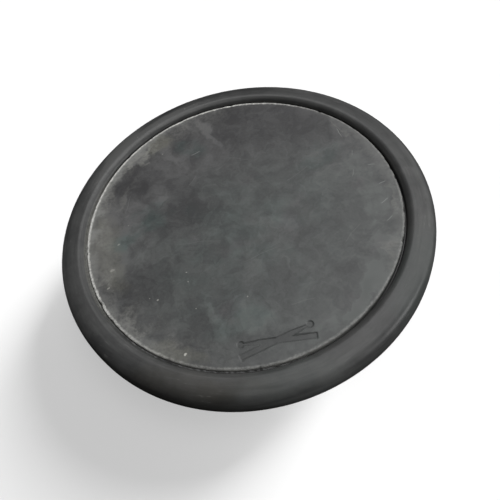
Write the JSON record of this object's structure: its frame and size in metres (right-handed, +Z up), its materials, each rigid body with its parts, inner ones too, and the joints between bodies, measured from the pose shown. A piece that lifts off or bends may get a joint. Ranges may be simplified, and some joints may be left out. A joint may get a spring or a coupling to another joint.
{
  "type": "drum practice pad",
  "caption": "Round drum practice pad: a flat rubber playing disc inside a wide crowned rubber rim, on a moulded case with rubber feet and a threaded stand mount.",
  "frame": {"origin": "middle of the plane that the feet rest on, on the pad's axis", "axes": "+Z up along the pad's axis, from the feet to the playing surface; -Y towards the player, where the emblem is; +X to the player's right"},
  "size_m": [0.241, 0.241, 0.0282],
  "materials": {
    "playing_rubber": "worn matte, grey haze and dust",
    "rim_rubber": "soft satin, scuffed",
    "foam": "closed-cell foam",
    "board": "plain birch plywood",
    "case_plastic": "fine moulded texture",
    "screw_steel": "zinc plated",
    "plate_steel": "zinc plated sheet",
    "bush_brass": "turned",
    "foot_rubber": "matte"
  },
  "bodies": {
    "root": {"playing_disc": "playing_rubber", "rim_ring": "rim_rubber", "foam_cushion": "foam", "backing_board": "board", "upper_frame": "case_plastic", "bottom_cover": "case_plastic", "case_screws": "screw_steel", "rubber_feet": "foot_rubber", "foot_washers": "screw_steel", "foot_screws": "screw_steel", "mount_plate": "plate_steel", "mount_bush": "bush_brass", "mount_screws": "screw_steel"}
  },
  "joints": []
}
